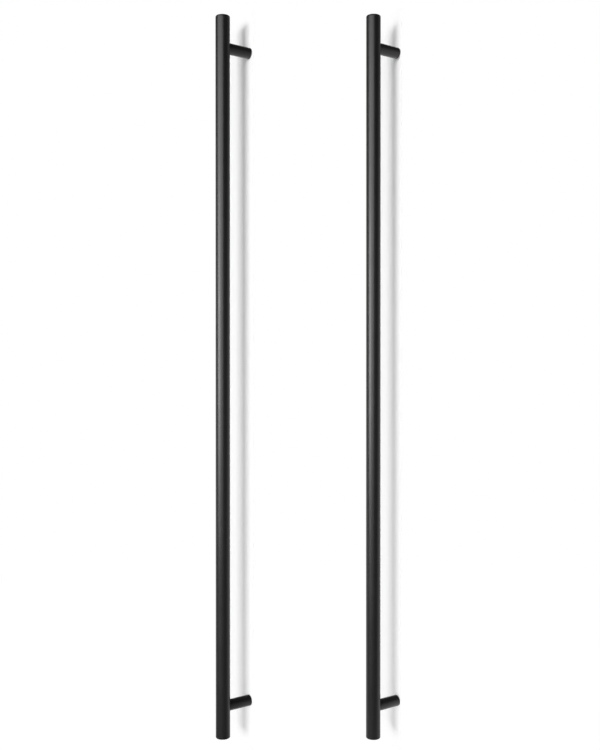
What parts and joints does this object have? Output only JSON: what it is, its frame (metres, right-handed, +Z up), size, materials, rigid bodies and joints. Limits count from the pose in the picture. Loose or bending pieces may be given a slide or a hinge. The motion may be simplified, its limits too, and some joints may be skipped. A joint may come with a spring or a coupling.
{
  "type": "back-to-back door pull handle",
  "caption": "Tall straight round-bar pull handles in satin black, a set that bolts back to back through a door, on short round posts near the bar's ends.",
  "frame": {"origin": "midway between the left handle's two door fixings, on the door's face", "axes": "+Z up along the bars, +Y from a handle into the door, +X along the door's width; the right handle stands 188 mm along +X and 250 mm along +Y from the left one, turned the same way"},
  "size_m": [0.218, 0.33, 1.5],
  "materials": {
    "black_coat": "satin",
    "black_nylon": "matte",
    "zinc_steel": "satin",
    "black_oxide_steel": "satin"
  },
  "bodies": {
    "root": {"left_grip_tube": "black_coat", "left_upper_end_cap": "black_coat", "left_upper_post": "black_coat", "left_upper_base_washer": "black_nylon", "left_upper_saddle_nut": "zinc_steel", "left_upper_post_screw": "black_oxide_steel", "left_upper_door_spigot": "zinc_steel", "left_upper_grub_screw": "black_oxide_steel", "left_lower_end_cap": "black_coat", "left_lower_post": "black_coat", "left_lower_base_washer": "black_nylon", "left_lower_saddle_nut": "zinc_steel", "left_lower_post_screw": "black_oxide_steel", "left_lower_door_spigot": "zinc_steel", "left_lower_grub_screw": "black_oxide_steel", "right_grip_tube": "black_coat", "right_upper_end_cap": "black_coat", "right_upper_post": "black_coat", "right_upper_base_washer": "black_nylon", "right_upper_saddle_nut": "zinc_steel", "right_upper_post_screw": "black_oxide_steel", "right_upper_door_spigot": "zinc_steel", "right_upper_grub_screw": "black_oxide_steel", "right_lower_end_cap": "black_coat", "right_lower_post": "black_coat", "right_lower_base_washer": "black_nylon", "right_lower_saddle_nut": "zinc_steel", "right_lower_post_screw": "black_oxide_steel", "right_lower_door_spigot": "zinc_steel", "right_lower_grub_screw": "black_oxide_steel"}
  },
  "joints": []
}
